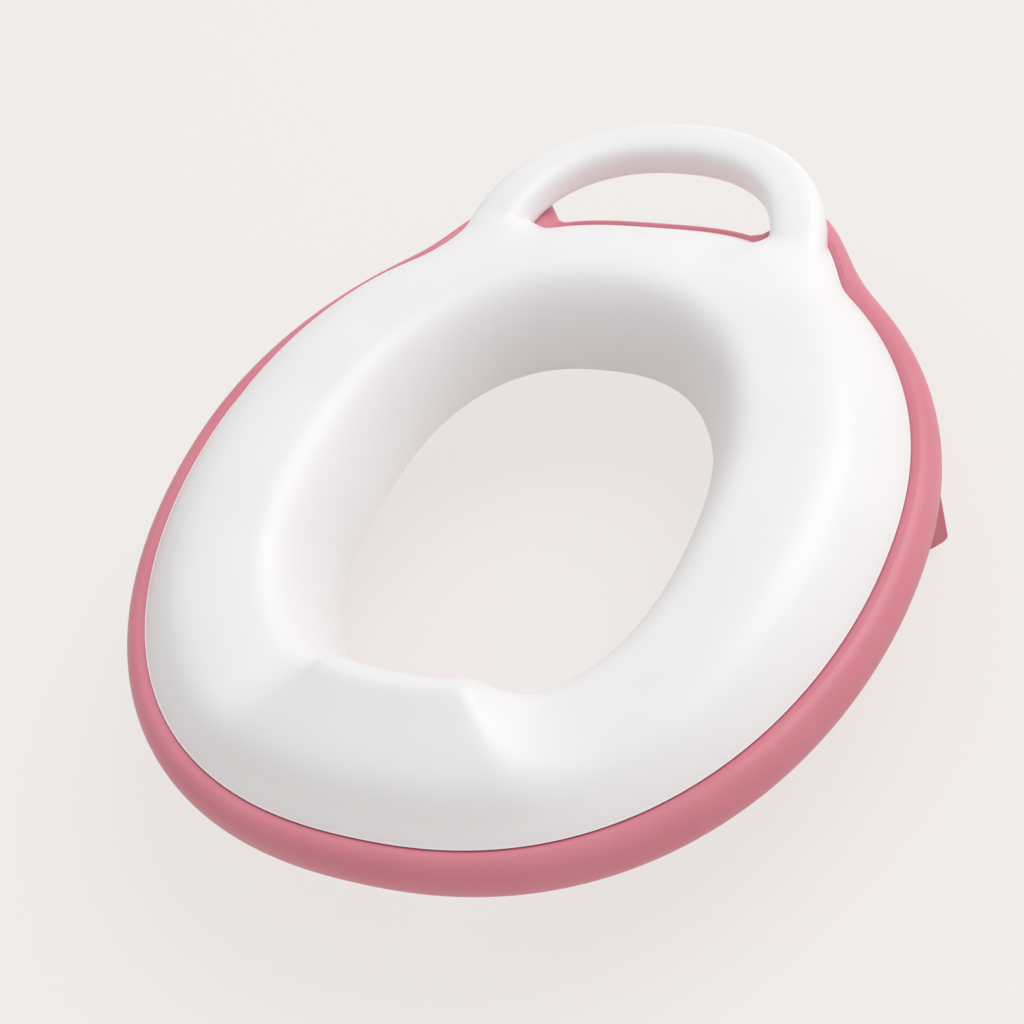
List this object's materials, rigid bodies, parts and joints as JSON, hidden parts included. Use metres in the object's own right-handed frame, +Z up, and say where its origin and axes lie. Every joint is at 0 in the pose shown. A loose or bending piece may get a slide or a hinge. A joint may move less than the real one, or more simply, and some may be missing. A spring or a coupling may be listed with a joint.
{
  "type": "potty training seat",
  "caption": "Child's potty training seat: white oval ring with splash guard and rear handle on a pink base, with side guards wound in and out by a dial.",
  "frame": {"origin": "on the floor plane under the side guards, in the plane of symmetry, midway between the front rim and the back of the handle", "axes": "+Z up, +Y from the splash guard to the handle, +X to the child's right-hand side seen from the front"},
  "size_m": [0.31, 0.3689, 0.098],
  "materials": {
    "white_shell": "satin moulded polypropylene",
    "pink_base": "satin moulded polypropylene",
    "white_gear": "smooth moulded acetal",
    "soft_pink": "matte soft rubber",
    "steel": "plain zinc-plated"
  },
  "bodies": {
    "seat": {"seat_shell": "white_shell", "base_tray": "pink_base", "shell_screws": "steel", "base_pads": "soft_pink", "gear_cover": "pink_base", "cover_screws": "steel"},
    "dial": {"dial_knob": "white_shell", "dial_pinion": "white_gear", "dial_screw": "steel"},
    "guard_right": {"guard_right": "pink_base", "guide_pins_right": "steel", "guard_strip_right": "soft_pink"},
    "guard_left": {"guard_left": "pink_base", "guide_pins_left": "steel", "guard_strip_left": "soft_pink"}
  },
  "joints": [
    {"name": "dial_turn", "type": "hinge", "parent": "seat", "child": "dial", "pos_m": [0, -0.1395, 0.04], "axis": [0, 0, 1], "range_deg": [0, 90]},
    {"name": "guard_right_slide", "type": "slide", "parent": "seat", "child": "guard_right", "axis": [-1, 0, 0], "range_m": [0, 0.02121]},
    {"name": "guard_left_slide", "type": "slide", "parent": "seat", "child": "guard_left", "axis": [1, 0, 0], "range_m": [0, 0.02121]}
  ],
  "couplings": [
    {"joint": "dial_turn", "follows": "guard_right_slide", "rad_per_m": 74.074},
    {"joint": "guard_left_slide", "follows": "guard_right_slide", "ratio": 1}
  ]
}
